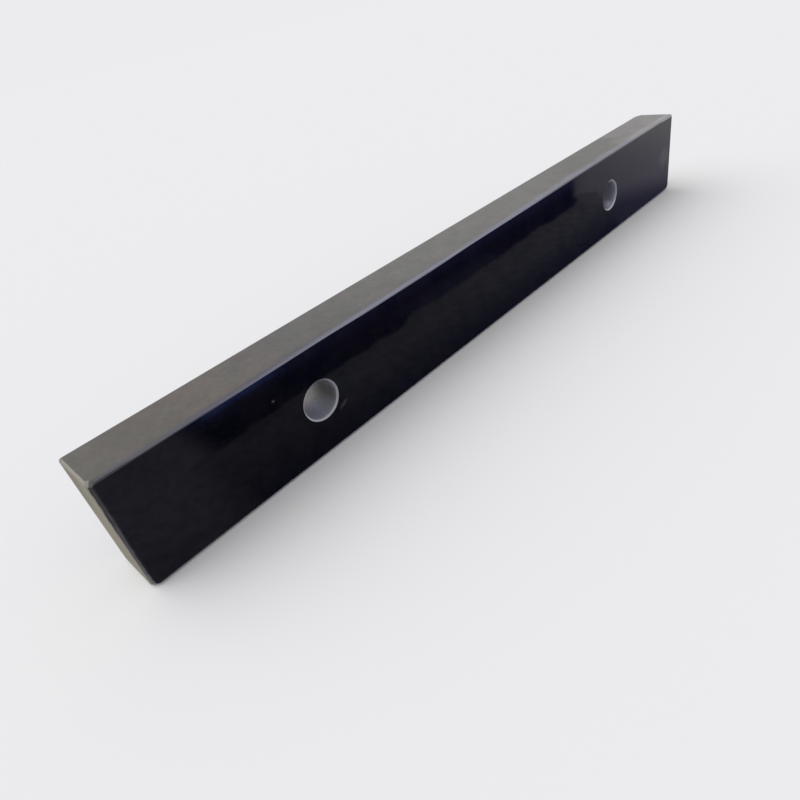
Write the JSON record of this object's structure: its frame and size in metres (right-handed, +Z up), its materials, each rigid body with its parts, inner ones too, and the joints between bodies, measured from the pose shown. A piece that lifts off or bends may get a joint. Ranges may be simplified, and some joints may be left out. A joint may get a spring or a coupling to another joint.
{
  "type": "granite straight edge",
  "caption": "Rectangular black granite straight edge with matt lapped working faces, polished sides, ground chamfers and round lifting holes.",
  "frame": {"origin": "middle of the lower working face, which is the bottom of the bar", "axes": "+X along the length, +Y through the thickness, +Z up, square to the working faces"},
  "size_m": [1, 0.06, 0.12],
  "materials": {
    "granite": "black fine-grained granite, sides polished, narrow faces and ends lapped matt, edges ground"
  },
  "bodies": {
    "root": {"granite_bar": "granite"}
  },
  "joints": []
}
